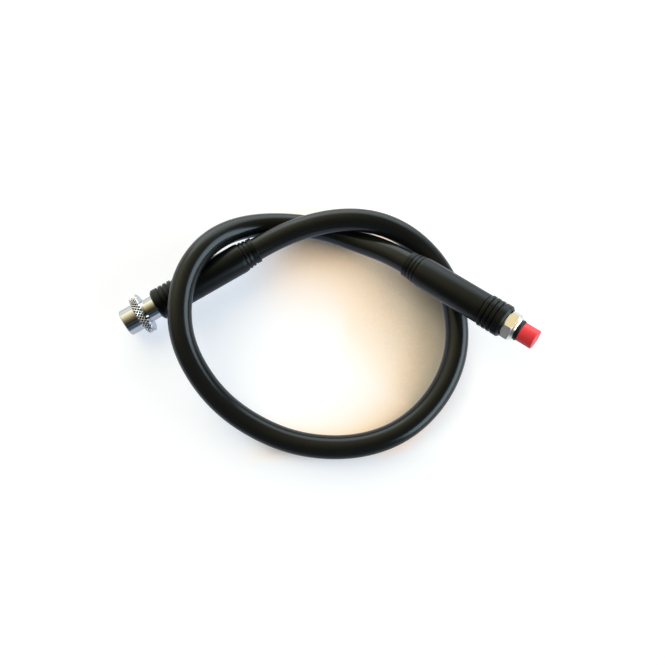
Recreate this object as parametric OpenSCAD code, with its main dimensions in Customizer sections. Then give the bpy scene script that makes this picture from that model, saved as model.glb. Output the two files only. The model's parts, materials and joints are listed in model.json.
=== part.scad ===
// Low pressure inflator hose: a rubber hose with a quick release coupler on one end
// and a threaded regulator fitting on the other, lying in a loose overhand loop.
// Units are millimetres, +Z is up, and the hose lies on the plane z = 0.
// Both ends are built along their own axis: position 0 is the coupler's front face,
// or the seat face of the regulator fitting, and positions grow towards the hose.

/* [Hose] */
// Outer diameter of the hose
hose_d = 13; // [12.4:0.1:13.2]
// Bore of the hose
hose_bore_d = 6.6; // [6.4:0.1:7.2]

/* [Hose protectors] */
// Wall of a protector round the ferrule
protector_wall = 1.15; // [1:0.05:1.5]
// Length of a protector
protector_l = 64; // [60:1:66]
// How far a protector reaches past the end of the hose
protector_reach = 6; // [5.8:0.1:6.4]
// Wall of the thin tip where the hose comes out
tip_wall = 0.9; // [0.7:0.05:1]
// Radial gap between a protector and what it is pushed over
protector_gap = 0.1; // [0.05:0.05:0.3]
// Length of the smooth lip on the fitting's side
lip_l = 4.4; // [3.6:0.2:5]
// How far the lip and the ribs behind it stand above the sleeve
lip_step = 0.5; // [0.2:0.1:0.6]
// Chamfer on the rim of the lip
lip_chamfer = 1.1; // [0.6:0.1:1.4]
// Grooves behind the lip
grip_grooves = 4; // [2:1:5]
// Distance between two grooves
grip_pitch = 2.8; // [2.6:0.1:3.2]
// Depth of a groove
grip_depth = 0.9; // [0.4:0.1:1]
// Slots round the tapered tip
tip_slots = 3; // [2:1:4]
// Distance between two slots
tip_pitch = 2.3; // [2:0.1:2.6]
// Width of a slot
tip_slot_w = 0.9; // [0.6:0.1:1.2]
// Depth of a slot
tip_slot_depth = 0.45; // [0.2:0.05:0.6]
// Length of the smooth land at the very end of the tip
tip_land_l = 2.9; // [2:0.1:3.4]

/* [Ferrules] */
// Length of a crimped ferrule
ferrule_l = 22.4; // [20:0.4:26]
// Wall of a ferrule round the hose
ferrule_wall = 0.8; // [0.6:0.1:1]
// Thickness of the end wall that the hose butts against
ferrule_end_w = 1.4; // [1:0.1:1.8]
// Gap between the ferrule and the hose
ferrule_gap = 0.05; // [0.02:0.01:0.1]
// Depth of the three crimp marks
crimp_depth = 0.3; // [0.1:0.05:0.4]

/* [Barbed tails] */
// Radial gap between the barbs and the bore of the hose
barb_gap = 0.25; // [0.05:0.05:0.3]
// Height of a barb
barb_h = 0.35; // [0.2:0.05:0.5]
// Air passage through a tail
tail_bore_d = 3.4; // [2.8:0.1:3.6]
// Length of a tail inside the hose
tail_l = 20; // [16:1:20]

/* [Coupler] */
// Bore of the socket's mouth
mouth_d = 9.8; // [9.7:0.05:9.9]
// Length of the mouth's bore ahead of the balls
mouth_l = 3; // [2.6:0.1:3.2]
// Chamfer at the mouth
mouth_chamfer = 0.4; // [0.2:0.1:0.5]
// How much narrower the socket is past the mouth, on the radius
socket_step = 0.2; // [0.2:0.05:0.3]
// Depth of the socket from the front of the barrel
socket_l = 10.7; // [10.4:0.1:11]
// Position of the seal's groove
seal_s = 7.8; // [7.6:0.1:8.2]
// Wall of the barrel round the seal's groove
seal_wall = 0.5; // [0.4:0.05:0.6]
// Thickness of the coupler's O-ring
coupler_seal_w = 1.2; // [1.1:0.05:1.25]
// How far the barrel's front lies behind the collar's front
barrel_inset = 0.5; // [0.3:0.1:0.8]
// Position of the barrel's rear shoulder
shoulder_s = 12.2; // [12:0.1:12.4]
// Position of the coupler body's rear face
body_end_s = 22; // [21.8:0.1:22.4]

/* [Release collar] */
// Wall of the collar's sleeve at its front
collar_wall = 0.75; // [0.6:0.05:1]
// Length of the collar
collar_l = 13.3; // [13:0.1:13.7]
// Diameter of the knurled flange
flange_d = 23; // [21:0.2:24]
// Width of the knurled flange
flange_w = 4.6; // [4:0.2:5.2]
// How far the collar is pulled back to release
collar_travel = 3.2; // [2.8:0.1:3.4]
// Running gap between the collar and the barrel
collar_gap = 0.08; // [0.05:0.01:0.1]
// Width of the land that holds the balls in
land_w = 1.2; // [1:0.1:1.4]
// Room over the balls when the collar lets them go
ball_room = 0.15; // [0.1:0.05:0.2]
// Teeth round the knurl
knurl_teeth = 50; // [24:2:60]
// Depth of the knurl
knurl_depth = 0.45; // [0.2:0.05:0.6]
// Angle of the knurl's grooves
knurl_angle = 30; // [25:1:40]

/* [Locking balls] */
// Diameter of a ball
ball_d = 2; // [1.9:0.05:2.1]
// Number of balls
BALLS = 6;
// How far a ball moves outwards when the collar lets it go
ball_lift = 0.7; // [0.6:0.05:0.7]
// Radial gap round a ball in its hole
ball_gap = 0.02; // [0.01:0.01:0.04]

/* [Springs] */
// Wire of the collar's spring
collar_wire_d = 0.5; // [0.4:0.05:0.5]
// Radial gap on each side of the collar's spring
spring_gap = 0.06; // [0.06:0.01:0.1]
// Turns of the collar's spring
collar_turns = 4; // [3:1:4]
// Wire of the valve's spring
valve_wire_d = 0.35; // [0.3:0.05:0.35]
// Turns of the valve's spring
valve_turns = 4; // [3:1:4]

/* [Valve] */
// Radial gap between the valve core and the stem
core_gap = 0.1; // [0.05:0.05:0.15]
// Bore of the stem round the core
stem_bore_d = 5.2; // [5.15:0.05:5.3]
// Diameter of the valve's pin
pin_d = 1.8; // [1.6:0.1:2]
// Diameter of the pin's head, which the inflator's nipple pushes
pin_head_d = 2.8; // [2.4:0.1:3.2]
// How far the pin is pushed in
pin_travel = 1.5; // [1.2:0.1:1.6]
// Diameter of the disc that closes the valve
poppet_d = 3.8; // [3.6:0.1:4]

/* [Regulator fitting] */
// Width of the hexagon across its flats
hex_af = 14.3; // [14:0.1:14.6]
// Length of the hexagon
hex_l = 5.1; // [5:0.1:5.3]
// Turn of the hexagon about the fitting's axis
hex_turn = 30; // [0:5:60]
// How far the hexagon's flats stand above the shoulder that seats on the regulator
seat_step = 0.55; // [0.4:0.05:0.7]
// Length of the shoulder
seat_l = 1.4; // [1.2:0.1:1.5]
// Outer diameter of the male thread
thread_d = 9.525; // [9.4:0.025:9.6]
// Length of the thread
thread_l = 7.6; // [7:0.1:8]
// Lead chamfer of the thread
thread_chamfer = 0.8; // [0.4:0.1:1.2]
// Depth of the groove that holds the O-ring, below the thread's crests
undercut_depth = 0.76; // [0.7:0.02:0.9]
// Thickness of the regulator's O-ring
regulator_seal_w = 1.9; // [1.8:0.05:1.95]
// Air passage through the fitting
fitting_bore_d = 4.8; // [4.4:0.1:5.2]

/* [Thread cap] */
// Wall of the cap round the thread
cap_wall = 0.5; // [0.4:0.05:0.8]
// Thickness of the cap's closed end
cap_end_w = 0.9; // [0.7:0.1:1.4]
// Radial gap between the cap and the thread
cap_gap = 0.1; // [0.08:0.01:0.12]
// Rounding of the cap's closed end
cap_rounding = 0.4; // [0.2:0.1:0.5]

/* [How the ends lie] */
// Coupler's front face along X
coupler_x = -111; // [-111:0.5:-110.5]
// Coupler's front face along Y
coupler_y = -13; // [-13:0.5:-12.5]
// Direction of the coupler's axis in plan
coupler_azimuth = 30; // [29.5:0.5:30.5]
// Slope of the coupler's axis
coupler_rise = 4; // [3.5:0.5:4]
// Regulator fitting's seat face along X
regulator_x = 102; // [101.5:0.5:102]
// Regulator fitting's seat face along Y
regulator_y = -23; // [-23.5:0.5:-23]
// Regulator fitting's seat face above the table
regulator_z = 36.5; // [36.5:0.5:37]
// Direction of the regulator end's axis in plan
regulator_azimuth = 142; // [141.5:0.5:142.5]
// Slope of the regulator end's axis
regulator_rise = -14; // [-14:0.5:-13.5]

/* [Hidden] */

// Smoothness of the turned pieces.
$fn = 96;
// Small overlap that makes a cut go right through.
CUT = 1;

// Where the free hose runs between the two straight ends.
ROUTE = [
    [-9, 42, 20.5], [10, 45.5, 21.5], [29, 45, 20], [47, 39.5, 14.5], [62, 27.5, 9.5],
    [72, 11, 7.5], [76, -9, 6.5], [75, -29, 6.5], [68, -47, 6.5], [56, -63, 6.5],
    [40, -75, 6.5], [21, -81, 6.5], [2, -82, 6.5], [-18, -79, 6.5], [-37, -71, 7.5],
    [-54, -60, 13], [-67, -45, 20], [-76, -27, 26.5], [-78, -8, 30], [-75, 11, 30],
    [-66, 28, 26], [-53, 40.5, 18], [-35, 47, 11], [-16, 48, 7], [3, 45, 6.5], [20, 37, 8]
];
// Spacing and number of the route points on each straight end.
STRAIGHT_STEP = 18;
STRAIGHT_POINTS = 5;
// Sides of the hose's tube, and rings between two route points.
HOSE_SIDES = 12;
RINGS_PER_POINT = 2;
// Sides of a spring's wire, and rings in a turn of each spring.
WIRE_SIDES = 6;
COLLAR_SPRING_RINGS = 24;
VALVE_SPRING_RINGS = 12;

// The ferrule's end wall starts on the stem's or the fitting's collar.
stem_collar_l = 2.6;
coupler_hose_s = body_end_s + stem_collar_l + ferrule_end_w;
neck_l = 5.1;
regulator_hose_s = seat_l + hex_l + neck_l + ferrule_end_w;
ferrule_bore_d = hose_d + 2 * ferrule_gap;
ferrule_d = ferrule_bore_d + 2 * ferrule_wall;
barb_d = hose_bore_d - 2 * barb_gap;
tail_d = barb_d - 2 * barb_h;
tail_hole_d = tail_d + 0.2;
tip_bore_d = hose_d + 2 * protector_gap;
protector_bore_d = ferrule_d + 2 * protector_gap;
protector_d = protector_bore_d + 2 * protector_wall;
protector_tip_d = tip_bore_d + 2 * tip_wall;
lip_d = protector_d + 2 * lip_step;
ferrule_room = protector_reach - ferrule_end_w + ferrule_l;
bore_taper_l = 3;

// The barrel, the collar round it and the ball mechanism between them.
socket_d = mouth_d - 2 * socket_step;
ball_in_r = socket_d / 2 - ball_lift + ball_d / 2;
barrel_d = 2 * ball_in_r + ball_d;
land_d = barrel_d + 2 * collar_gap;
front_bore_d = barrel_d + 2 * (ball_lift + ball_room);
collar_d = front_bore_d + 2 * collar_wall;
collar_bore_d = land_d + 2 * collar_wire_d + 4 * spring_gap;
neck_d = collar_bore_d - 0.2;
mouth_s = barrel_inset + mouth_chamfer;
ball_s = mouth_s + mouth_l + 1.6;
land_s = ball_s - 0.1;
front_bore_l = land_s - collar_travel;
spring_s = land_s + land_w;
flange_s = collar_l - flange_w;
flange_chamfer = 0.6;
ring_s = 1.8;
ring_w = 0.7;
ring_groove_d = barrel_d - 0.9;
seal_groove_d = barrel_d - 2 * seal_wall;
seal_groove_w = coupler_seal_w + 0.2;

// The valve inside the stem.
stem_insert_l = 8;
stem_s = body_end_s - stem_insert_l;
throat_d = stem_bore_d;
core_d = stem_bore_d - 2 * core_gap;
throat_s = barrel_inset + socket_l;
core_s = stem_s + 0.2;
core_l = 5.3;
poppet_s = core_s + core_l + 0.5;
poppet_w = 0.8;
valve_seat_s = body_end_s + stem_collar_l - 0.6;
pin_head_s = throat_s - pin_travel - 0.2;
pin_head_w = 0.6;
stem_seal_w = 0.76;
stem_seal_groove_s = stem_s - stem_seal_w - 0.04;
stem_thread_d = 9.1;

// The regulator fitting and its cap.
seat_d = hex_af - 2 * seat_step;
fitting_neck_d = ferrule_bore_d + 0.1;
undercut_d = thread_d - 2 * undercut_depth;
undercut_w = regulator_seal_w + 0.1;
cap_bore_d = thread_d + 2 * cap_gap;
cap_d = cap_bore_d + 2 * cap_wall;
cap_open_s = -undercut_w - 0.2;
cap_floor_s = -undercut_w - thread_l - 0.1;

coupler_z = flange_d / 2 * cos(coupler_rise) - flange_s * sin(coupler_rise);

function axis_direction(azimuth, rise) =
    [cos(azimuth) * cos(rise), sin(azimuth) * cos(rise), sin(rise)];
coupler_origin = [coupler_x, coupler_y, coupler_z];
coupler_axis = axis_direction(coupler_azimuth, coupler_rise);
regulator_origin = [regulator_x, regulator_y, regulator_z];
regulator_axis = axis_direction(regulator_azimuth, regulator_rise);

// Puts a piece drawn along +Z on the coupler's axis.
module on_coupler() {
    translate(coupler_origin) rotate([0, 90 - coupler_rise, coupler_azimuth]) children();
}

// Puts a piece drawn along +Z on the regulator end's axis.
module on_regulator() {
    translate(regulator_origin)
        rotate([0, 90 - regulator_rise, regulator_azimuth]) children();
}

// A turned piece: the outline's points are [radius, position].
module turned(outline) {
    rotate_extrude() polygon(outline);
}

// A straight ring between two positions.
module ring(outer_d, inner_d, from, to) {
    turned([[inner_d / 2, from], [outer_d / 2, from], [outer_d / 2, to], [inner_d / 2, to]]);
}

// A round rod between two positions.
module rod(d, from, to) {
    translate([0, 0, from]) cylinder(d = d, h = to - from);
}

// An O-ring on a groove floor of diameter inner_d, lying from position s.
module o_ring(inner_d, w, s) {
    rotate_extrude() translate([(inner_d + w) / 2, s + w / 2]) circle(d = w, $fn = 32);
}

// ---- Tubes swept along points ----

function unit(v) = v / norm(v);

// A point between b and c on the smooth curve that a, b, c and d shape.
function curve_point(a, b, c, d, t) =
    (pow(1 - t, 3) * a + (3 * pow(t, 3) - 6 * t * t + 4) * b
    + (-3 * pow(t, 3) + 3 * t * t + 3 * t + 1) * c + pow(t, 3) * d) / 6;

// The smooth curve through a whole route, which starts and ends on its end points.
function smooth_route(p, steps) =
    let (
        n = len(p),
        q = concat([2 * p[0] - p[1]], p, [2 * p[n - 1] - p[n - 2]])
    )
    concat(
        [for (i = [0:n - 2], k = [0:steps - 1])
            curve_point(q[i], q[i + 1], q[i + 2], q[i + 3], k / steps)],
        [p[n - 1]]
    );

// The direction of a line of points at point i.
function heading(line, i) = unit(line[min(i + 1, len(line) - 1)] - line[max(i - 1, 0)]);

// One ring of a tube, square to the direction t; its first corner points down.
function tube_ring(centre, t, r, sides) =
    let (
        side = unit(cross(t, [0, 0, 1])),
        down = unit(cross(t, side))
    )
    [for (k = [0:sides - 1])
        let (angle = 360 * k / sides)
        centre + r * (cos(angle) * down + sin(angle) * side)];

// Triangles between ring a and ring b of a tube, and across its two flat ends.
function band(a, b, sides) =
    [for (k = [0:sides - 1])
        let (m = (k + 1) % sides)
        each [[a + k, b + k, b + m], [a + k, b + m, a + m]]];

// An open tube with a bore, swept along a line of points.
module hollow_tube(line, outer_r, inner_r, sides) {
    n = len(line);
    points = concat(
        [for (i = [0:n - 1]) each tube_ring(line[i], heading(line, i), outer_r, sides)],
        [for (i = [0:n - 1]) each tube_ring(line[i], heading(line, i), inner_r, sides)]
    );
    inner = n * sides;
    last = (n - 1) * sides;
    faces = concat(
        [for (i = [0:n - 2]) each band(i * sides, (i + 1) * sides, sides)],
        [for (i = [0:n - 2]) each band(inner + (i + 1) * sides, inner + i * sides, sides)],
        band(inner, 0, sides),
        band(last, inner + last, sides)
    );
    polyhedron(points = points, faces = faces);
}

// A coil spring of round wire between two positions, drawn along +Z.
module coil_spring(mean_d, wire_d, turns, rings, from, to) {
    low = from + wire_d / 2;
    climb = to - wire_d / 2 - low;
    n = turns * rings + 1;
    points = [for (i = [0:n - 1])
        let (
            angle = 360 * i / rings,
            out = [cos(angle), sin(angle), 0],
            centre = out * mean_d / 2 + [0, 0, low + climb * i / (n - 1)]
        )
        each [for (k = [0:WIRE_SIDES - 1])
            let (turn = 360 * k / WIRE_SIDES)
            centre + wire_d / 2 * (cos(turn) * out + sin(turn) * [0, 0, 1])]];
    faces = concat(
        [for (i = [0:n - 2]) each band((i + 1) * WIRE_SIDES, i * WIRE_SIDES, WIRE_SIDES)],
        [for (k = [1:WIRE_SIDES - 2]) [0, k + 1, k]],
        [for (k = [1:WIRE_SIDES - 2]) (n - 1) * WIRE_SIDES * [1, 1, 1] + [0, k, k + 1]]
    );
    polyhedron(points = points, faces = faces);
}

// ---- Hose ----

hose_route = concat(
    [for (i = [0:STRAIGHT_POINTS - 1])
        coupler_origin + (coupler_hose_s + i * STRAIGHT_STEP) * coupler_axis],
    ROUTE,
    [for (i = [STRAIGHT_POINTS - 1:-1:0])
        regulator_origin + (regulator_hose_s + i * STRAIGHT_STEP) * regulator_axis]
);

module hose() {
    color("#1b1c1e")
        hollow_tube(smooth_route(hose_route, RINGS_PER_POINT),
            hose_d / 2, hose_bore_d / 2, HOSE_SIDES);
}

// ---- Pieces that both ends share ----

// Rubber sleeve over a ferrule: grooved grip by the fitting, ringed taper on the hose.
module hose_protector(lip_s) {
    end_s = lip_s + protector_l;
    grooves_s = lip_s + lip_l;
    land_start_s = end_s - tip_land_l;
    taper_s = land_start_s - tip_slot_w - (tip_slots - 1) * tip_pitch;
    groove_w = grip_pitch / 2;
    grip_end_s = grooves_s + (grip_grooves - 1) * grip_pitch + groove_w * 0.5;
    floor_r = lip_d / 2 - grip_depth;
    difference() {
        turned([
            [tip_bore_d / 2, lip_s],
            [lip_d / 2 - lip_chamfer, lip_s],
            [lip_d / 2, lip_s + lip_chamfer],
            [lip_d / 2, grip_end_s],
            [protector_d / 2, grip_end_s],
            [protector_d / 2, taper_s - tip_pitch],
            [protector_tip_d / 2, land_start_s],
            [protector_tip_d / 2, end_s - 0.3],
            [protector_tip_d / 2 - 0.3, end_s],
            [tip_bore_d / 2, end_s]
        ]);
        turned([
            [0, lip_s - CUT],
            [protector_bore_d / 2, lip_s - CUT],
            [protector_bore_d / 2, lip_s + ferrule_room + 0.5],
            [tip_bore_d / 2, lip_s + ferrule_room + 0.5 + bore_taper_l],
            [0, lip_s + ferrule_room + 0.5 + bore_taper_l]
        ]);
        for (i = [0:grip_grooves - 1])
            let (s = grooves_s + i * grip_pitch)
            turned([
                [floor_r, s + groove_w * 0.3],
                [lip_d / 2 + CUT, s - groove_w * 0.2],
                [lip_d / 2 + CUT, s + groove_w * 1.2],
                [floor_r, s + groove_w * 0.7]
            ]);
        for (i = [0:tip_slots - 1])
            let (
                s = taper_s + i * tip_pitch,
                part = (s + tip_slot_w - taper_s + tip_pitch) / (land_start_s - taper_s + tip_pitch),
                surface_d = protector_d + (protector_tip_d - protector_d) * part
            )
            turned([
                [surface_d / 2 - tip_slot_depth, s],
                [surface_d / 2 + CUT + 1, s],
                [surface_d / 2 + CUT + 1, s + tip_slot_w],
                [surface_d / 2 - tip_slot_depth, s + tip_slot_w]
            ]);
    }
}

// Crimped steel sleeve: its end wall lies between the collar at wall_s and the hose.
module ferrule(wall_s) {
    end_s = wall_s + ferrule_l;
    crimp_w = 1.6;
    difference() {
        ring(ferrule_d, tail_hole_d, wall_s, end_s);
        rod(ferrule_bore_d, wall_s + ferrule_end_w, end_s + CUT);
        for (i = [1:3])
            let (s = wall_s + ferrule_end_w + i * (ferrule_l - ferrule_end_w) / 4)
            ring(ferrule_d + 2 * CUT, ferrule_d - 2 * crimp_depth, s - crimp_w / 2, s + crimp_w / 2);
    }
}

// Outline of a barbed tail from the collar's face to its end inside the hose.
function tail_outline(collar_s, hose_s) =
    let (
        barbs = 5,
        pitch = (tail_l - 2) / barbs
    )
    concat(
        [[tail_d / 2, collar_s]],
        [for (i = [0:barbs - 1])
            let (s = hose_s + 2 + i * pitch)
            each [[tail_d / 2, s], [barb_d / 2, s + 0.2], [tail_d / 2, s + pitch * 0.8]]],
        [[tail_d / 2, hose_s + tail_l], [tail_bore_d / 2, hose_s + tail_l]]
    );

// ---- Coupler ----

module coupler_body() {
    color("#c9ccd0") on_coupler() difference() {
        turned([
            [socket_d / 2, barrel_inset + mouth_chamfer],
            [mouth_d / 2, mouth_s],
            [mouth_d / 2 + mouth_chamfer, barrel_inset],
            [barrel_d / 2 - 0.2, barrel_inset],
            [barrel_d / 2, barrel_inset + 0.2],
            [barrel_d / 2, ring_s],
            [ring_groove_d / 2, ring_s],
            [ring_groove_d / 2, ring_s + ring_w + 0.1],
            [barrel_d / 2, ring_s + ring_w + 0.1],
            [barrel_d / 2, shoulder_s],
            [neck_d / 2, shoulder_s],
            [neck_d / 2, body_end_s - 0.4],
            [neck_d / 2 - 0.4, body_end_s],
            [stem_thread_d / 2 + 0.05, body_end_s],
            [stem_thread_d / 2 + 0.05, stem_seal_groove_s],
            [throat_d / 2, stem_seal_groove_s],
            [throat_d / 2, throat_s],
            [socket_d / 2, throat_s]
        ]);
        rod(mouth_d, mouth_s - 0.01, mouth_s + mouth_l);
        rod(seal_groove_d, seal_s, seal_s + seal_groove_w);
        for (i = [0:BALLS - 1]) ball_place(i) {
            sphere(d = ball_d + 2 * ball_gap);
            cylinder(d = ball_d + 2 * ball_gap, h = barrel_d);
        }
    }
}

// The place of ball i when it is locked in; +Z is outwards.
module ball_place(i) {
    translate([0, 0, ball_s]) rotate([0, 90, 360 / BALLS * i])
        translate([0, 0, ball_in_r]) children();
}

module locking_ball(i) {
    color("#d8dade") on_coupler() ball_place(i) sphere(d = ball_d);
}

// Sliding collar: a land holds the balls in, and the ramp before it lets them out.
module release_collar() {
    color("#c4c7cb") on_coupler() difference() {
        turned([
            [front_bore_d / 2, 0],
            [collar_d / 2 - 0.5, 0],
            [collar_d / 2, 0.5],
            [collar_d / 2, flange_s],
            [flange_d / 2 - flange_chamfer, flange_s],
            [flange_d / 2, flange_s + flange_chamfer],
            [flange_d / 2, collar_l - flange_chamfer],
            [flange_d / 2 - flange_chamfer, collar_l],
            [collar_bore_d / 2, collar_l],
            [collar_bore_d / 2, spring_s],
            [land_d / 2, spring_s],
            [land_d / 2, land_s],
            [front_bore_d / 2, front_bore_l]
        ]);
        for (side = [-1, 1], i = [0:knurl_teeth - 1])
            rotate([0, 0, 360 / knurl_teeth * i])
                translate([flange_d / 2, 0, flange_s + flange_w / 2])
                    rotate([side * knurl_angle, 0, 0]) rotate([0, 0, 45])
                        cube([knurl_depth * sqrt(2), knurl_depth * sqrt(2), flange_w * 1.6],
                            center = true);
    }
}

module collar_spring() {
    color("#9fa3a8") on_coupler()
        coil_spring((land_d + collar_bore_d) / 2, collar_wire_d, collar_turns,
            COLLAR_SPRING_RINGS, spring_s, shoulder_s);
}

// Snap ring that keeps the collar from coming off the front.
module retaining_ring() {
    color("#8c9095") on_coupler() difference() {
        ring(front_bore_d - 0.22, ring_groove_d + 0.1, ring_s + 0.05, ring_s + 0.05 + ring_w);
        translate([ring_groove_d / 2, 0, ring_s])
            cube([barrel_d / 2, 1.4, 4 * ring_w], center = true);
    }
}

module coupler_seal() {
    color("#151515") on_coupler()
        o_ring(seal_groove_d - 2 * coupler_seal_w - 0.1, coupler_seal_w,
            seal_s + (seal_groove_w - coupler_seal_w) / 2);
}

// Brass stem: it screws into the coupler's body and its barbed tail holds the hose.
module coupler_stem() {
    collar_end_s = body_end_s + stem_collar_l;
    color("#b58b45") on_coupler() turned(concat(
        [
            [tail_bore_d / 2, valve_seat_s],
            [stem_bore_d / 2, valve_seat_s],
            [stem_bore_d / 2, stem_s],
            [stem_thread_d / 2 - 0.3, stem_s],
            [stem_thread_d / 2, stem_s + 0.3],
            [stem_thread_d / 2, body_end_s],
            [neck_d / 2, body_end_s],
            [neck_d / 2, collar_end_s]
        ],
        tail_outline(collar_end_s, coupler_hose_s)
    ));
}

module stem_seal() {
    color("#151515") on_coupler()
        o_ring(stem_thread_d - 2 * stem_seal_w - 0.2, stem_seal_w, stem_seal_groove_s + 0.02);
}

module valve_core() {
    color("#c9a35a") on_coupler() difference() {
        ring(core_d, pin_d + 0.3, core_s, core_s + core_l);
        translate([0, 0, core_s]) cube([core_d + CUT, 1, 1.6], center = true);
    }
}

module valve_pin() {
    color("#d9c08a") on_coupler() {
        rod(pin_head_d, pin_head_s, pin_head_s + pin_head_w);
        rod(pin_d, pin_head_s, poppet_s + poppet_w + 0.8);
        rod(poppet_d, poppet_s, poppet_s + poppet_w);
    }
}

module valve_seal() {
    color("#151515") on_coupler()
        ring(poppet_d, pin_d + 0.1, poppet_s - 0.45, poppet_s - 0.02);
}

module valve_spring() {
    color("#9fa3a8") on_coupler()
        coil_spring(poppet_d - 0.8, valve_wire_d, valve_turns, VALVE_SPRING_RINGS,
            poppet_s + poppet_w + 0.02, valve_seat_s);
}

module coupler_ferrule() {
    color("#aeb2b6") on_coupler() ferrule(body_end_s + stem_collar_l);
}

module coupler_hose_protector() {
    color("#232427") on_coupler() hose_protector(coupler_hose_s - protector_reach);
}

// ---- Regulator end ----

// Plated fitting: O-ring groove and thread outwards, hexagon and barbed tail inwards.
module regulator_fitting() {
    hex_s = seat_l;
    neck_s = hex_s + hex_l;
    collar_end_s = neck_s + neck_l;
    corner_d = hex_af / cos(30);
    color("#c8c4b8") on_regulator() {
        difference() {
            union() {
                turned(concat(
                    [
                        [tail_bore_d / 2, neck_s],
                        [fitting_bore_d / 2, hex_s],
                        [fitting_bore_d / 2, -undercut_w - thread_l],
                        [thread_d / 2 - thread_chamfer, -undercut_w - thread_l],
                        [thread_d / 2, thread_chamfer - undercut_w - thread_l],
                        [thread_d / 2, -undercut_w],
                        [undercut_d / 2, -undercut_w],
                        [undercut_d / 2, 0],
                        [seat_d / 2 - 0.5, 0],
                        [seat_d / 2, 0.5],
                        [seat_d / 2, hex_s + hex_l / 2],
                        [fitting_neck_d / 2, hex_s + hex_l / 2],
                        [fitting_neck_d / 2, collar_end_s]
                    ],
                    tail_outline(collar_end_s, regulator_hose_s)
                ));
                intersection() {
                    translate([0, 0, hex_s]) difference() {
                        rotate([0, 0, hex_turn]) cylinder(d = corner_d, h = hex_l, $fn = 6);
                        cylinder(d = seat_d - 0.4, h = 3 * hex_l, center = true);
                    }
                    turned([
                        [seat_d / 2 - 1, hex_s],
                        [hex_af / 2 - 0.1, hex_s],
                        [corner_d / 2, hex_s + (corner_d - hex_af) / 2 * 0.6 + 0.1],
                        [corner_d / 2, neck_s - (corner_d - hex_af) / 2 * 0.6 - 0.1],
                        [hex_af / 2 - 0.1, neck_s],
                        [seat_d / 2 - 1, neck_s]
                    ]);
                }
            }
        }
    }
}

module regulator_seal() {
    color("#101010") on_regulator()
        o_ring(undercut_d + 0.1, regulator_seal_w, -regulator_seal_w - 0.05);
}

module regulator_ferrule() {
    color("#aeb2b6") on_regulator() ferrule(seat_l + hex_l + neck_l);
}

module regulator_hose_protector() {
    color("#232427") on_regulator() hose_protector(regulator_hose_s - protector_reach);
}

// Push-on plastic cap over the male thread.
module thread_cap() {
    closed_s = cap_floor_s - cap_end_w;
    color("#e0242e") on_regulator() difference() {
        turned([
            [0, closed_s],
            [cap_d / 2 - cap_rounding, closed_s],
            for (a = [15:15:75])
                [cap_d / 2 - cap_rounding + cap_rounding * sin(a),
                    closed_s + cap_rounding - cap_rounding * cos(a)],
            [cap_d / 2, closed_s + cap_rounding],
            [cap_d / 2, cap_open_s],
            [0, cap_open_s]
        ]);
        rod(cap_bore_d, cap_floor_s, cap_open_s + CUT);
    }
}

hose();
coupler_body();
release_collar();
collar_spring();
retaining_ring();
locking_ball(0);  // locking_ball_1
locking_ball(1);  // locking_ball_2
locking_ball(2);  // locking_ball_3
locking_ball(3);  // locking_ball_4
locking_ball(4);  // locking_ball_5
locking_ball(5);  // locking_ball_6
coupler_seal();
coupler_stem();
stem_seal();
valve_core();
valve_pin();
valve_seal();
valve_spring();
coupler_ferrule();
coupler_hose_protector();
regulator_fitting();
regulator_seal();
regulator_ferrule();
regulator_hose_protector();
thread_cap();
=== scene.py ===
# Low pressure inflator hose: a rubber hose in a loose overhand loop, with a quick release
# coupler on one end and a capped threaded fitting on the other. Metres, +Z up, table at z = 0.
import json
import math

import bmesh
import bpy
from mathutils import Matrix, Vector


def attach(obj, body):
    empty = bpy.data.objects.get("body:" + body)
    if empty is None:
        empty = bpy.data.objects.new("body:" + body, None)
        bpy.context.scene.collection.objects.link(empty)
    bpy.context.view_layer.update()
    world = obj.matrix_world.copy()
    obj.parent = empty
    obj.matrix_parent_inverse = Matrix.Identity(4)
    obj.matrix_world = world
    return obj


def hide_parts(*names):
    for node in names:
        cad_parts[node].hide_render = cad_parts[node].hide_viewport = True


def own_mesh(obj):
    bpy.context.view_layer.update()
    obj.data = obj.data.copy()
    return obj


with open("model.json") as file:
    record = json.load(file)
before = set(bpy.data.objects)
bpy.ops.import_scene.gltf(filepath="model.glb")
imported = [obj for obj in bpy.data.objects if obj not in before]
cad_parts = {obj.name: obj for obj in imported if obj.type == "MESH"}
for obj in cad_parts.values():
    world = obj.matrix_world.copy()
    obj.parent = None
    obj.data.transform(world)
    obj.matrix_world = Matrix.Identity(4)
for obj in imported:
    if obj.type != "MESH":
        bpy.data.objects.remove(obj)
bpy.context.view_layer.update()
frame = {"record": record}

# ---- Camera ----
# Looks down at the loop from the front, 76 degrees above the table.
scene = bpy.context.scene
scene.view_settings.view_transform = "Standard"
aim = Vector((0.005, -0.018, 0.010))
away = 0.400
tilt = math.radians(90 - 76)
camera_data = bpy.data.cameras.new("camera")
camera_data.sensor_width = 36
camera_data.lens = 38.6
camera = bpy.data.objects.new("camera", camera_data)
camera.location = aim + away * Vector((0, -math.sin(tilt), math.cos(tilt)))
camera.rotation_euler = (tilt, 0, 0)
scene.collection.objects.link(camera)
scene.camera = camera

# ---- Hose ----
# Low pressure diving hose, 13 mm thick: black rubber extruded over a braid and cured to a
# satin skin. Each end is pushed onto a barbed tail, and it lies in a loose overhand loop.
mounts = {mount["name"]: mount for mount in frame["record"]["mounts"]}
socket_s, thread_tip_s = 0.0024, -0.0096


def end_place(mount, mount_s):
    """The place of one end: position 0 on its face, and +Z along its axis to the hose."""
    along = -Vector(mount["axis"]).normalized()
    side = Vector((0, 0, 1)).cross(along).normalized()
    place = Matrix((side.cross(along), side, along)).transposed().to_4x4()
    place.translation = Vector(mount["pos_m"]) - mount_s * along
    return place


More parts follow.
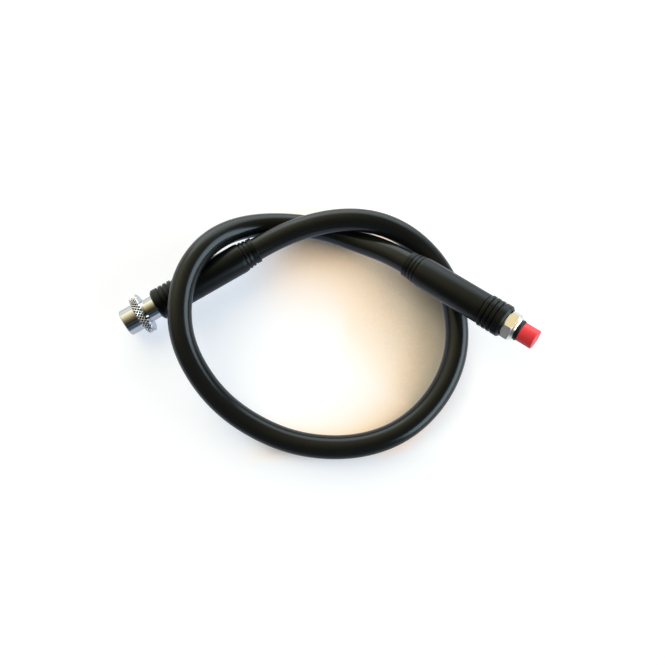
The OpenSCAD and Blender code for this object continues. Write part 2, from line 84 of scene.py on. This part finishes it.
coupler = end_place(mounts["coupler_socket"], socket_s)
regulator = end_place(mounts["regulator_thread"], thread_tip_s)
coupler_hose_s = 0.026
regulator_hose_s = 0.013
hose_r, straight_step = 0.0065, 0.018
straight = [i * straight_step for i in range(5)]
loop_mm = (
    (-9, 42, 20.5), (10, 45.5, 21.5), (29, 45, 20), (47, 39.5, 14.5), (62, 27.5, 9.5),
    (72, 11, 7.5), (76, -9, 6.5), (75, -29, 6.5), (68, -47, 6.5), (56, -63, 6.5),
    (40, -75, 6.5), (21, -81, 6.5), (2, -82, 6.5), (-18, -79, 6.5), (-37, -71, 7.5),
    (-54, -60, 13), (-67, -45, 20), (-76, -27, 26.5), (-78, -8, 30), (-75, 11, 30),
    (-66, 28, 26), (-53, 40.5, 18), (-35, 47, 11), (-16, 48, 7), (3, 45, 6.5), (20, 37, 8),
)
route = (
    [coupler @ Vector((0, 0, coupler_hose_s + step)) for step in straight]
    + [Vector(point) / 1000 for point in loop_mm]
    + [regulator @ Vector((0, 0, regulator_hose_s + step)) for step in reversed(straight)]
)
# One more point before and after, so that the curve starts and ends on the route's ends.
controls = [2 * route[0] - route[1], *route, 2 * route[-1] - route[-2]]
hose_line = bpy.data.curves.new("hose_skin", "CURVE")
hose_line.dimensions = "3D"
hose_line.resolution_u = 12
hose_line.bevel_depth = hose_r
hose_line.bevel_resolution = 14
hose_line.use_fill_caps = True
spline = hose_line.splines.new("NURBS")
spline.points.add(len(controls) - 1)
for point, control in zip(spline.points, controls):
    point.co = (*control, 1)
spline.order_u = 4
hose = bpy.data.objects.new("hose_skin", hose_line)
scene.collection.objects.link(hose)


def linear(code):
    """Turns an sRGB hex colour to linear RGBA."""
    channels = [int(code[i:i + 2], 16) / 255 for i in (1, 3, 5)]
    return (*(c / 12.92 if c <= 0.04045 else ((c + 0.055) / 1.055) ** 2.4
              for c in channels), 1)


def add_node(tree, kind, inputs=None, **settings):
    """Adds a node: a socket among the inputs is linked, and any other value is set."""
    node = tree.nodes.new(kind)
    for name, value in settings.items():
        setattr(node, name, value)
    for name, value in (inputs or {}).items():
        if isinstance(value, bpy.types.NodeSocket):
            tree.links.new(value, node.inputs[name])
        else:
            node.inputs[name].default_value = value
    return node


def start_material(name, **constants):
    """A new material with its shader's constant values set, and its Object coordinates."""
    material = bpy.data.materials.new(name)
    material.use_nodes = True
    tree = material.node_tree
    tree.nodes.clear()
    shader = add_node(tree, "ShaderNodeBsdfPrincipled",
                      {key.replace("_", " "): value for key, value in constants.items()})
    add_node(tree, "ShaderNodeOutputMaterial", {"Surface": shader.outputs[0]})
    return material, tree, shader, add_node(tree, "ShaderNodeTexCoord").outputs["Object"]


def per_metre(size_mm):
    """The scale of a pattern whose marks are this many millimetres apart."""
    return 1000 / size_mm


# Extruded chloroprene rubber: near black and satin, with a fine grain from the cure and
# faint cloudy patches, greyer where the skin has bloomed.
hose_rubber, tree, shader, where = start_material(
    "extruded chloroprene rubber", IOR=1.45, Specular_Tint=linear("#dfe5e8"))
bloom = add_node(tree, "ShaderNodeTexNoise",
                 {"Vector": where, "Scale": per_metre(24), "Detail": 3})
grain = add_node(tree, "ShaderNodeTexNoise",
                 {"Vector": where, "Scale": per_metre(0.7), "Detail": 4, "Roughness": 0.6})
colour = add_node(tree, "ShaderNodeMix",
                  {0: bloom.outputs[0], 6: linear("#131413"), 7: linear("#1b1b1a")},
                  data_type="RGBA")
rough = add_node(tree, "ShaderNodeMapRange", {0: grain.outputs[0], 3: 0.15, 4: 0.23})
bump = add_node(tree, "ShaderNodeBump",
                {"Height": grain.outputs[0], "Strength": 0.35, "Distance": 0.00006})
tree.links.new(colour.outputs[2], shader.inputs["Base Color"])
tree.links.new(rough.outputs[0], shader.inputs["Roughness"])
tree.links.new(bump.outputs[0], shader.inputs["Normal"])
hose_line.materials.append(hose_rubber)
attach(hose, "hose_and_fittings")
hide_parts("hose")

# ---- Table and light ----
# A white table in a room with a bright window on the right, a wide one behind and a lit wall
# on the left, and a soft key light. Polished metal shows them as bands.
bpy.ops.mesh.primitive_plane_add(size=4)
table = bpy.context.object
table.name = "table"
table_paint, tree, shader, where = start_material("white laminate", Roughness=0.6)
glow_in_sight, glow_in_mirrors = 0.68, 0.46
# Where the table's look changes, each from one place to the next, in metres.
dims_from_y, dim_at_y = -0.05, -0.15
left_from_x, left_at_x = -0.010, -0.050
front_from_y, front_at_y = -0.078, -0.092
seen = add_node(tree, "ShaderNodeLightPath").outputs
in_view = add_node(tree, "ShaderNodeMath",
                   {0: seen["Is Camera Ray"], 1: seen["Is Transmission Ray"]},
                   operation="MAXIMUM")
straight_glow = add_node(tree, "ShaderNodeMath", {0: in_view.outputs[0], 1: glow_in_sight},
                         operation="MULTIPLY")
# In reflections the table darkens towards the front, away from the windows: painted shade.
on_table = add_node(tree, "ShaderNodeSeparateXYZ", {0: where}).outputs
far = add_node(tree, "ShaderNodeMapRange",
               {0: on_table["Y"], 1: dims_from_y, 2: dim_at_y},
               interpolation_type="SMOOTHSTEP").outputs[0]
lit_part = add_node(tree, "ShaderNodeMapRange", {0: far, 3: glow_in_mirrors, 4: 0.0})
dim_part = add_node(tree, "ShaderNodeMath", {0: seen["Is Glossy Ray"], 1: far},
                    operation="MULTIPLY")
glow = add_node(tree, "ShaderNodeMath",
                {0: seen["Is Glossy Ray"], 1: lit_part.outputs[0],
                 2: straight_glow.outputs[0]}, operation="MULTIPLY_ADD")
# Painted shadow: where the hose hides the window on the right, the table's glow inside the
# loop turns peach and then brown. On the left and in front it stays a cool white.
hiding_reach = 0.06
to_window = add_node(tree, "ShaderNodeCombineXYZ", {0: 0.85, 1: 0.25, 2: 0.35})
hidden = add_node(tree, "ShaderNodeAmbientOcclusion",
                  {"Distance": hiding_reach, "Normal": to_window.outputs[0]}, samples=12)
shade = add_node(tree, "ShaderNodeValToRGB", {0: hidden.outputs["AO"]})
stops = shade.color_ramp.elements
stops[0].position, stops[0].color = 0.50, linear("#303030")
stops[1].position, stops[1].color = 0.92, linear("#e9effc")
stops.new(0.60).color = linear("#bc9e7e")
stops.new(0.72).color = linear("#ffd7ac")
on_left = add_node(tree, "ShaderNodeMapRange",
                   {0: on_table["X"], 1: left_from_x, 2: left_at_x},
                   interpolation_type="SMOOTHSTEP")
in_front = add_node(tree, "ShaderNodeMapRange",
                    {0: on_table["Y"], 1: front_from_y, 2: front_at_y},
                    interpolation_type="SMOOTHSTEP")
outside = add_node(tree, "ShaderNodeMath", {0: on_left.outputs[0], 1: in_front.outputs[0]},
                   operation="MAXIMUM")
in_sight = add_node(tree, "ShaderNodeMix",
                    {0: outside.outputs[0], 6: shade.outputs[0], 7: linear("#dde6f6")},
                    data_type="RGBA")
# In reflections the table's glow is pale blue: painted shade.
tint = add_node(tree, "ShaderNodeMix",
                {0: seen["Is Glossy Ray"], 6: in_sight.outputs[2], 7: linear("#bccef9")},
                data_type="RGBA")
paint = add_node(tree, "ShaderNodeMix",
                 {0: dim_part.outputs[0], 6: linear("#c8c4bc"), 7: linear("#6c6c78")},
                 data_type="RGBA")
tree.links.new(paint.outputs[2], shader.inputs["Base Color"])
tree.links.new(glow.outputs[0], shader.inputs["Emission Strength"])
tree.links.new(tint.outputs[2], shader.inputs["Emission Color"])
table.data.materials.append(table_paint)

world = bpy.data.worlds.new("studio")
scene.world = world
world.use_nodes = True
tree = world.node_tree
tree.nodes.clear()
direction = add_node(tree, "ShaderNodeTexCoord").outputs["Generated"]
height = add_node(tree, "ShaderNodeSeparateXYZ", {0: direction}).outputs["Z"]


def window(azimuth, elevation, half_width, half_height, blur):
    """How far a direction lies inside a soft rectangle of light, from 0 to 1. In degrees."""
    side, rise = math.radians(azimuth), math.radians(elevation)
    towards = Vector((math.cos(side) * math.cos(rise), math.sin(side) * math.cos(rise),
                      math.sin(rise)))
    across = Vector((0, 0, 1)).cross(towards).normalized()
    inside = None
    for axis, half in ((across, half_width), (towards.cross(across), half_height)):
        along = add_node(tree, "ShaderNodeVectorMath", {0: direction, 1: axis},
                         operation="DOT_PRODUCT").outputs["Value"]
        off = add_node(tree, "ShaderNodeMath", {0: along}, operation="ABSOLUTE").outputs[0]
        part = add_node(tree, "ShaderNodeMapRange",
                        {0: off, 1: math.sin(math.radians(half + blur)),
                         2: math.sin(math.radians(half))},
                        interpolation_type="SMOOTHSTEP").outputs[0]
        inside = part if inside is None else add_node(
            tree, "ShaderNodeMath", {0: inside, 1: part}, operation="MULTIPLY").outputs[0]
    ahead = add_node(tree, "ShaderNodeVectorMath", {0: direction, 1: towards},
                     operation="DOT_PRODUCT").outputs["Value"]
    facing = add_node(tree, "ShaderNodeMath", {0: ahead, 1: 0.0}, operation="GREATER_THAN")
    return add_node(tree, "ShaderNodeMath", {0: inside, 1: facing.outputs[0]},
                    operation="MULTIPLY").outputs[0]


# Seen from the table, upwards: a slate blue wall, its dark upper part, a dim lamp shade
# and the unlit ceiling.
ceiling = add_node(tree, "ShaderNodeValToRGB", {0: height})
ceiling.color_ramp.interpolation = "EASE"
stops = ceiling.color_ramp.elements
stops[0].position, stops[0].color = 0.38, linear("#556577")
stops[1].position, stops[1].color = 0.80, linear("#1f1f21")
for position, code in ((0.46, "#24323d"), (0.60, "#24323d"), (0.68, "#454d4c")):
    stops.new(position).color = linear(code)
# The windows and the lit wall are brighter than a hex colour can say: linear light.
room = ceiling.outputs[0]
wide_window = window(azimuth=82, elevation=14, half_width=30, half_height=16, blur=14)
right_window = window(azimuth=-16, elevation=16, half_width=28, half_height=14, blur=10)
for opening, daylight in ((wide_window, (2.2, 2.5, 2.6, 1)),
                          (right_window, (3.8, 4.6, 5.0, 1))):
    room = add_node(tree, "ShaderNodeMix", {0: opening, 6: room, 7: daylight},
                    data_type="RGBA").outputs[2]
# The lit wall behind on the left fades out round it, with a dark rail low across it.
wall_edge, wall_middle = (1.40, 1.08, 0.52, 1), (1.46, 1.38, 0.96, 1)
wall_at, wall_falloff = Vector((-0.60, 0.62, 0.50)).normalized(), 6.0
rail_height, rail_half_w, rail_light = 0.31, 0.055, 0.4
towards_wall = add_node(tree, "ShaderNodeVectorMath", {0: direction, 1: wall_at},
                        operation="DOT_PRODUCT").outputs["Value"]
half_open = add_node(tree, "ShaderNodeMapRange", {0: towards_wall, 1: -1.0, 2: 1.0})
fading = add_node(tree, "ShaderNodeMath", {0: half_open.outputs[0], 1: wall_falloff},
                  operation="POWER").outputs[0]
rail = add_node(tree, "ShaderNodeMath", {0: height, 1: rail_height, 2: rail_half_w},
                operation="COMPARE")
railed = add_node(tree, "ShaderNodeMapRange", {0: rail.outputs[0], 3: 1.0, 4: rail_light})
wall = add_node(tree, "ShaderNodeMath", {0: fading, 1: railed.outputs[0]},
                operation="MULTIPLY").outputs[0]
wall_paint = add_node(tree, "ShaderNodeMix", {0: fading, 6: wall_edge, 7: wall_middle},
                      data_type="RGBA").outputs[2]
lit = add_node(tree, "ShaderNodeVectorMath", {0: wall_paint, 3: wall}, operation="SCALE")
room = add_node(tree, "ShaderNodeVectorMath", {0: room, 1: lit.outputs[0]}, operation="ADD")
seen = add_node(tree, "ShaderNodeLightPath").outputs
shown = add_node(tree, "ShaderNodeMix",
                 {0: seen["Is Camera Ray"], 6: room.outputs[0], 7: linear("#ffffff")},
                 data_type="RGBA")
room_light = add_node(tree, "ShaderNodeBackground", {"Color": shown.outputs[2], "Strength": 1})
add_node(tree, "ShaderNodeOutputWorld", {"Surface": room_light.outputs[0]})

key_data = bpy.data.lights.new("warm_soft_box", "AREA")
key_data.shape = "DISK"
key_data.size = 0.9
key_data.energy = 5
key_data.color = linear("#fff4e2")[:3]
key = bpy.data.objects.new("warm_soft_box", key_data)
key_distance = 1.2
key.location = key_distance * Vector((-0.45, 0.42, 0.79)).normalized()
key.rotation_euler = (-key.location).to_track_quat("-Z", "Y").to_euler()
key.visible_glossy = False
scene.collection.objects.link(key)

# ---- Hose protectors ----
# Two black rubber sleeves over the ferrules: a smooth lip and grip grooves by the fitting,
# a long plain sleeve and a slotted taper where the hose comes out. Moulded in one piece.


def turned(outline, steps=96):
    """A closed mesh turned from an outline of (radius, position) points in millimetres."""
    bm = bmesh.new()
    verts = [bm.verts.new((radius / 1000, 0, s / 1000)) for radius, s in outline]
    ends = list(zip(verts, verts[1:]))
    if outline[0][0] > 0 or outline[-1][0] > 0:
        ends.append((verts[-1], verts[0]))
    edges = [bm.edges.new(pair) for pair in ends]
    bmesh.ops.spin(bm, geom=verts + edges, cent=(0, 0, 0), axis=(0, 0, 1),
                   angle=2 * math.pi, steps=steps, use_merge=True)
    bmesh.ops.remove_doubles(bm, verts=bm.verts, dist=1e-7)
    bmesh.ops.recalc_face_normals(bm, faces=bm.faces)
    return bm


def finished(name, bm, place, material, sharp=30):
    """The piece of a mesh: put in place, smooth between its sharp edges, with its finish."""
    bm.transform(place)
    for face in bm.faces:
        face.smooth = True
    for edge in bm.edges:
        edge.smooth = edge.calc_face_angle(0) < math.radians(sharp)
    mesh = bpy.data.meshes.new(name)
    bm.to_mesh(mesh)
    bm.free()
    mesh.materials.append(material)
    piece = bpy.data.objects.new(name, mesh)
    scene.collection.objects.link(piece)
    return piece


def broken_edges(piece, width_mm):
    """Rounds a piece's sharp edges, as a mould or a file leaves them."""
    bevel = piece.modifiers.new("broken_edges", "BEVEL")
    bevel.width = width_mm / 1000
    bevel.segments = 3
    bevel.limit_method = "ANGLE"
    bevel.angle_limit = math.radians(30)
    bevel.harden_normals = True


# Moulded nitrile rubber: blacker and less glossy than the hose, with the fine matt grain of
# the mould and faint clouds where hands have rubbed it.
protector_rubber, tree, shader, where = start_material(
    "moulded nitrile rubber", IOR=1.45, Specular_Tint=linear("#c2cacc"))
grain = add_node(tree, "ShaderNodeTexNoise",
                 {"Vector": where, "Scale": per_metre(0.5), "Detail": 3})
clouds = add_node(tree, "ShaderNodeTexNoise",
                  {"Vector": where, "Scale": per_metre(9), "Detail": 2})
colour = add_node(tree, "ShaderNodeMix",
                  {0: clouds.outputs[0], 6: linear("#040505"), 7: linear("#080909")},
                  data_type="RGBA")
rough = add_node(tree, "ShaderNodeMapRange", {0: clouds.outputs[0], 3: 0.26, 4: 0.36})
bump = add_node(tree, "ShaderNodeBump",
                {"Height": grain.outputs[0], "Strength": 0.3, "Distance": 0.00004})
tree.links.new(colour.outputs[2], shader.inputs["Base Color"])
tree.links.new(rough.outputs[0], shader.inputs["Roughness"])
tree.links.new(bump.outputs[0], shader.inputs["Normal"])

# Positions and radii along the sleeve, in millimetres from its lip.
lip_r, sleeve_r, tip_r, tip_bore_r, ferrule_r = 9.1, 8.6, 7.5, 6.6, 7.45
sleeve_l, lip_round, tip_land = 64, 1.1, 2.9
grooves, groove_pitch, grooves_s, groove_depth = 4, 2.8, 4.4, 0.9
groove_floor_r = lip_r - groove_depth
groove_shape = ((lip_r, 0.09), (groove_floor_r, 0.42), (groove_floor_r, 0.98), (lip_r, 1.31))
slots, slot_pitch, slot_w, slot_depth, slot_wall = 3, 2.3, 0.9, 0.45, 0.1
land_s = sleeve_l - tip_land
slots_s = land_s - slot_w - (slots - 1) * slot_pitch
taper_s = slots_s - slot_pitch
ferrule_room_s, bore_s = 27.5, 30.5


def taper_r(s):
    """The sleeve's outside radius where it narrows to its tip."""
    return sleeve_r + (tip_r - sleeve_r) * (s - taper_s) / (land_s - taper_s)


outline = [(lip_r - lip_round, 0), (lip_r, lip_round)]
for i in range(grooves):
    outline += [(r, grooves_s + groove_pitch * i + step) for r, step in groove_shape]
# The last groove ends on the plain sleeve, which is slimmer than the lip.
outline[-1] = (sleeve_r, outline[-1][1] - 0.06)
outline.append((sleeve_r, taper_s))
for i in range(slots):
    s = slots_s + slot_pitch * i
    floor_r = taper_r(s + slot_w) - slot_depth
    outline += [(taper_r(s), s), (floor_r, s + slot_wall), (floor_r, s + slot_w - slot_wall),
                (taper_r(s + slot_w), s + slot_w)]
outline += [(tip_r, sleeve_l), (tip_bore_r, sleeve_l), (tip_bore_r, bore_s),
            (ferrule_r, ferrule_room_s), (ferrule_r, 0)]
for end, place, lip_s in (("coupler", coupler, 20), ("regulator", regulator, 7)):
    sleeve = finished(end + "_sleeve", turned([(r, lip_s + s) for r, s in outline]),
                      place, protector_rubber)
    broken_edges(sleeve, 0.14)
    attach(sleeve, "hose_and_fittings")
    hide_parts(end + "_hose_protector")

# ---- Release collar ----
# The coupler's sliding collar: brass turned on a lathe, its flange rolled with a diamond
# knurl for the fingers, then chrome plated. The knurl is coarser than the real one, to show.
collar_r, collar_bore_r, land_r, mouth_r = 7.6, 6.7, 6.08, 6.85
flange_r, flange_s, collar_l = 11.5, 8.7, 13.3
collar_edge, flange_edge = 0.5, 0.6
mouth_s, land_from_s, land_to_s = 2.2, 5.4, 6.6
teeth, knurl_rows, knurl_depth = 40, 4, 0.45
knurl_start_s, knurl_end_s = flange_s + flange_edge, collar_l - flange_edge
knurl_step = (knurl_end_s - knurl_start_s) / (knurl_rows - 1)
outline = [(mouth_r, 0), (collar_r - collar_edge, 0), (collar_r, collar_edge),
           (collar_r, flange_s), (flange_r - flange_edge, flange_s)]
outline += [(flange_r, knurl_start_s + i * knurl_step) for i in range(knurl_rows)]
outline += [(flange_r - flange_edge, collar_l), (collar_bore_r, collar_l),
            (collar_bore_r, land_to_s), (land_r, land_to_s), (land_r, land_from_s),
            (mouth_r, mouth_s)]
bm = turned(outline, steps=2 * teeth)
# Every second crossing of the flange's grid goes down into a pit, and a net of ridges joins
# those that stay.
ridge = []
for vert in bm.verts:
    across = vert.co.xy.length
    row = (vert.co.z * 1000 - knurl_start_s) / knurl_step
    if across < flange_r / 1000 - 1e-5 or abs(row - round(row)) > 0.01:
        continue
    column = round(math.atan2(vert.co.y, vert.co.x) / (math.pi / teeth))
    if (column + round(row)) % 2:
        vert.co.xy *= 1 - knurl_depth / 1000 / across
    else:
        ridge.append(vert)
bmesh.ops.connect_verts(bm, verts=ridge)


def plain_finish(name, code, mark_mm, smoothest, roughest, detail=2, **constants):
    """A material of one colour, whose shine varies over marks of a real size."""
    material, tree, shader, where = start_material(
        name, Base_Color=linear(code), **constants)
    marks = add_node(tree, "ShaderNodeTexNoise",
                     {"Vector": where, "Scale": per_metre(mark_mm), "Detail": detail})
    rough = add_node(tree, "ShaderNodeMapRange",
                     {0: marks.outputs[0], 3: smoothest, 4: roughest})
    tree.links.new(rough.outputs[0], shader.inputs["Roughness"])
    return material


# Bright chrome over nickel: a mirror with the faint cloud that handling leaves.
chrome = plain_finish("bright chrome plate", "#cfd1d4", 5, 0.05, 0.11, detail=4, Metallic=1)
# The same plate in the knurl: bright worn ridges, and pits darkened by painted shade.
unshaded_depth, pit_shade_depth = 0.09, 0.20
knurled_chrome, tree, shader, where = start_material("knurled chrome with painted pit shade", Metallic=1)
from_axis = add_node(tree, "ShaderNodeMapping",
                     {"Vector": where, "Location": coupler.translation,
                      "Rotation": coupler.to_euler()}, vector_type="TEXTURE")
flat = add_node(tree, "ShaderNodeVectorMath", {0: from_axis.outputs[0], 1: (1, 1, 0)},
                operation="MULTIPLY")
radius = add_node(tree, "ShaderNodeVectorMath", {0: flat.outputs[0]}, operation="LENGTH")
depth = add_node(tree, "ShaderNodeMapRange",
                 {0: radius.outputs["Value"], 1: (flange_r - unshaded_depth) / 1000,
                  2: (flange_r - pit_shade_depth) / 1000})
# Painted shade: the colour goes from white on the ridges to near black deep in the pits.
colour = add_node(tree, "ShaderNodeMix",
                  {0: depth.outputs[0], 6: linear("#ffffff"), 7: linear("#040404")},
                  data_type="RGBA")
rough = add_node(tree, "ShaderNodeMapRange", {0: depth.outputs[0], 3: 0.28, 4: 0.5})
tree.links.new(colour.outputs[2], shader.inputs["Base Color"])
tree.links.new(rough.outputs[0], shader.inputs["Roughness"])
for face in bm.faces:
    middle = face.calc_center_median() * 1000
    face.material_index = int(middle.xy.length > flange_r - knurl_depth
                              and knurl_start_s < middle.z < knurl_end_s)
collar = finished("knurled_collar", bm, coupler, chrome, sharp=24)
collar.data.materials.append(knurled_chrome)
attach(collar, "release_collar")
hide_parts("release_collar")

# ---- Coupler body ----
# The chromed brass barrel inside the collar, with the socket, the six holes for the balls
# and the neck that the stem screws into.


def smooth_copy(node):
    """A merged copy of a turned node's mesh, for a finish that shows every facet."""
    bm = bmesh.new()
    bm.from_mesh(bpy.data.objects[node].data)
    bmesh.ops.remove_doubles(bm, verts=bm.verts, dist=1e-7)
    return bm


barrel = finished("barrel", smooth_copy("coupler_body"), Matrix(), chrome)
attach(barrel, "hose_and_fittings")
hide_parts("coupler_body")

# ---- Snap ring and locking balls ----
# Spring steel ring that keeps the collar on, and six hardened steel balls that lock behind
# the nipple's rim. Both are oiled, bare steel.
ball_steel = plain_finish("ground bearing steel", "#c9cbcf", 0.6, 0.10, 0.20, Metallic=1)
for i in range(1, 7):
    name = "locking_ball_%d" % i
    ball = finished("ball_%d" % i, smooth_copy(name), Matrix(), ball_steel)
    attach(ball, name)
    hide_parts(name)
spring_steel = plain_finish("oiled spring steel", "#9b9da1", 0.4, 0.25, 0.42, Metallic=1)
snap_ring = finished("snap_ring", smooth_copy("retaining_ring"), Matrix(), spring_steel)
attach(snap_ring, "hose_and_fittings")
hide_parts("retaining_ring")

# ---- Springs ----
# Round spring wire: the collar's return spring round the barrel, and the small one that
# closes the valve. Each rests on the fixed shoulder behind it.


def wound(mean_r, wire_r, from_s, to_s, turns):
    """A coil of round wire between two positions, in millimetres."""
    bm = bmesh.new()
    steps = turns * 40
    climb = (to_s - from_s - 2 * wire_r) / steps
    bmesh.ops.create_circle(bm, segments=12, radius=wire_r / 1000)
    bmesh.ops.rotate(bm, verts=bm.verts, matrix=Matrix.Rotation(math.pi / 2, 3, "X"))
    bmesh.ops.translate(bm, verts=bm.verts,
                        vec=(mean_r / 1000, 0, (from_s + wire_r) / 1000))
    bmesh.ops.spin(bm, geom=bm.verts[:] + bm.edges[:], cent=(0, 0, 0), axis=(0, 0, 1),
                   dvec=(0, 0, climb / 1000), angle=2 * math.pi * turns, steps=steps)
    bmesh.ops.holes_fill(bm, edges=[edge for edge in bm.edges if edge.is_boundary])
    bmesh.ops.recalc_face_normals(bm, faces=bm.faces)
    return bm


for name, node, joint, mean_r, wire_r, free_s, fixed_s, travel in (
        ("collar_coil", "collar_spring", "collar_slide", 6.39, 0.25, 6.6, 12.2, 3.2),
        ("valve_coil", "valve_spring", "valve_press", 1.5, 0.175, 20.82, 24, 1.5)):
    coil = finished(name, wound(mean_r, wire_r, free_s, fixed_s, turns=4), coupler,
                    spring_steel)
    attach(coil, "hose_and_fittings")
    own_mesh(coil)
    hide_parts(node)

# ---- Brass and steel inside the ends ----
# Turned brass stem, valve core and pin, and crimped steel ferrules under the protectors.


def lathe_marks(tree, where, place, mark_mm):
    """Noise drawn out into rings round an end's axis, as a turning tool leaves them."""
    ring_mm = 20
    rings = add_node(tree, "ShaderNodeMapping",
                     {"Vector": where, "Location": place.translation,
                      "Rotation": place.to_euler(),
                      "Scale": (ring_mm / 1000, ring_mm / 1000, mark_mm / 1000)},
                     vector_type="TEXTURE")
    return add_node(tree, "ShaderNodeTexNoise",
                    {"Vector": rings.outputs[0], "Scale": 1, "Detail": 2}).outputs[0]


brass, tree, shader, where = start_material(
    "turned brass", Metallic=1, Base_Color=linear("#c79a4e"))
marks = lathe_marks(tree, where, coupler, 0.3)
rough = add_node(tree, "ShaderNodeMapRange", {0: marks, 3: 0.18, 4: 0.34})
tree.links.new(rough.outputs[0], shader.inputs["Roughness"])
ferrule_steel = plain_finish("crimped steel", "#aeb0b3", 1.5, 0.28, 0.45, detail=3, Metallic=1)
seal_rubber = plain_finish("nitrile O-ring", "#080808", 0.8, 0.24, 0.36, IOR=1.42)
for material, nodes in ((brass, ("coupler_stem", "valve_core", "valve_pin")),
                        (ferrule_steel, ("coupler_ferrule", "regulator_ferrule")),
                        (seal_rubber, ("coupler_seal", "stem_seal", "valve_seal"))):
    for node in nodes:
        node_slots = bpy.data.objects[node].data.materials
        node_slots.clear()
        node_slots.append(material)

# ---- Regulator fitting ----
# Nickel plated brass: a 14.3 mm hexagon, the shoulder that seats on the regulator, and the
# neck under the protector. Its thread is a piece of its own here.
nickel, tree, shader, where = start_material(
    "bright nickel plate", Metallic=1, Base_Color=linear("#fffbf2"))
marks = lathe_marks(tree, where, regulator, 0.4)
rough = add_node(tree, "ShaderNodeMapRange", {0: marks, 3: 0.12, 4: 0.22})
bump = add_node(tree, "ShaderNodeBump",
                {"Height": marks, "Strength": 0.2, "Distance": 0.00001})
tree.links.new(rough.outputs[0], shader.inputs["Roughness"])
tree.links.new(bump.outputs[0], shader.inputs["Normal"])
thread_root_s = -0.0019
# The solid's plain stub of a thread is cut off here.
bm = smooth_copy("regulator_fitting")
bmesh.ops.bisect_plane(bm, geom=bm.verts[:] + bm.edges[:] + bm.faces[:],
                       plane_co=regulator @ Vector((0, 0, thread_root_s)),
                       plane_no=-regulator.col[2].xyz, clear_outer=True)
hexagon = finished("hexagon_and_tail", bm, Matrix(), nickel, sharp=20)
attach(hexagon, "hose_and_fittings")
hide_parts("regulator_fitting")

# ---- Thread ----
# The male 3/8-24 thread, cut on a lathe: 24 turns to the inch, right-handed, with a lead
# chamfer at its end and a run-out by the O-ring's groove.
pitch, crest_r, root_r, passage_r = 25.4 / 24, 9.525 / 2, 4.13, 2.4
thread_from, thread_to = -2.0, -9.6
flank_slope, root_flat = 2.6, 0.12
lead_depth, run_out_depth, run_out_slope = 0.8, 0.5, 1.2
columns, rows = 72, 96
bm = bmesh.new()
bmesh.ops.create_grid(bm, x_segments=columns, y_segments=rows, size=0.5)
for vert in bm.verts:
    round_part, along_part = vert.co.x + 0.5, vert.co.y + 0.5
    s = thread_from + (thread_to - thread_from) * along_part
    tooth = (s / pitch + round_part) % 1
    form = min(1, max(0, flank_slope * abs(tooth - 0.5) - root_flat))
    r = min(root_r + (crest_r - root_r) * form,
            crest_r - lead_depth + (s - thread_to),
            crest_r - run_out_depth + (thread_from - s) * run_out_slope)
    angle = 2 * math.pi * round_part
    vert.co = (r * math.cos(angle) / 1000, r * math.sin(angle) / 1000, s / 1000)
bmesh.ops.remove_doubles(bm, verts=bm.verts, dist=1e-7)
# The two open rims close on the passage, which runs back to the groove.
rims = [edge for edge in bm.edges if edge.is_boundary]
inner = bmesh.ops.extrude_edge_only(bm, edges=rims)["geom"]
for vert in (part for part in inner if isinstance(part, bmesh.types.BMVert)):
    vert.co.xy = vert.co.xy.normalized() * passage_r / 1000
open_rims = [edge for edge in bm.edges if edge.is_boundary]
bmesh.ops.bridge_loops(bm, edges=open_rims)
bmesh.ops.recalc_face_normals(bm, faces=bm.faces)
thread = finished("regulator_thread", bm, regulator, nickel, sharp=50)
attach(thread, "hose_and_fittings")
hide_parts("regulator_fitting")

# ---- O-ring of the regulator fitting ----
# Nitrile ring in the groove behind the thread, which seals the hose in the regulator.
port_seal = finished("port_o_ring", smooth_copy("regulator_seal"), Matrix(), seal_rubber)
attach(port_seal, "hose_and_fittings")
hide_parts("regulator_seal")

# ---- Thread cap ----
# Red polyethylene cap, injection moulded and pushed over the thread: soft, thin walled, and
# a little translucent at its rims.
cap_plastic, tree, shader, where = start_material(
    "moulded polyethylene", IOR=1.51, Subsurface_Weight=0.15, Subsurface_Scale=0.0006)
cloud = add_node(tree, "ShaderNodeTexNoise", {"Vector": where, "Scale": per_metre(2.5)})
colour = add_node(tree, "ShaderNodeMix",
                  {0: cloud.outputs[0], 6: linear("#ea333f"), 7: linear("#f03e4a")},
                  data_type="RGBA")
rough = add_node(tree, "ShaderNodeMapRange", {0: cloud.outputs[0], 3: 0.30, 4: 0.42})
tree.links.new(colour.outputs[2], shader.inputs["Base Color"])
tree.links.new(rough.outputs[0], shader.inputs["Roughness"])
cap_r, cap_bore_r, cap_round, cap_end_wall = 5.3625, 4.8625, 0.4, 0.9
cap_open_s, cap_closed_s = -2.2, -10.6
outline = [(0, cap_closed_s)]
for turn in range(0, 91, 15):
    angle = math.radians(turn)
    outline.append((cap_r - cap_round + cap_round * math.sin(angle),
                    cap_closed_s + cap_round - cap_round * math.cos(angle)))
outline += [(cap_r, cap_open_s), (cap_bore_r, cap_open_s),
            (cap_bore_r, cap_closed_s + cap_end_wall), (0, cap_closed_s + cap_end_wall)]
cap = finished("push_on_cap", turned(outline), regulator, cap_plastic)
broken_edges(cap, 0.12)
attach(cap, "thread_cap")
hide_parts("thread_cap")
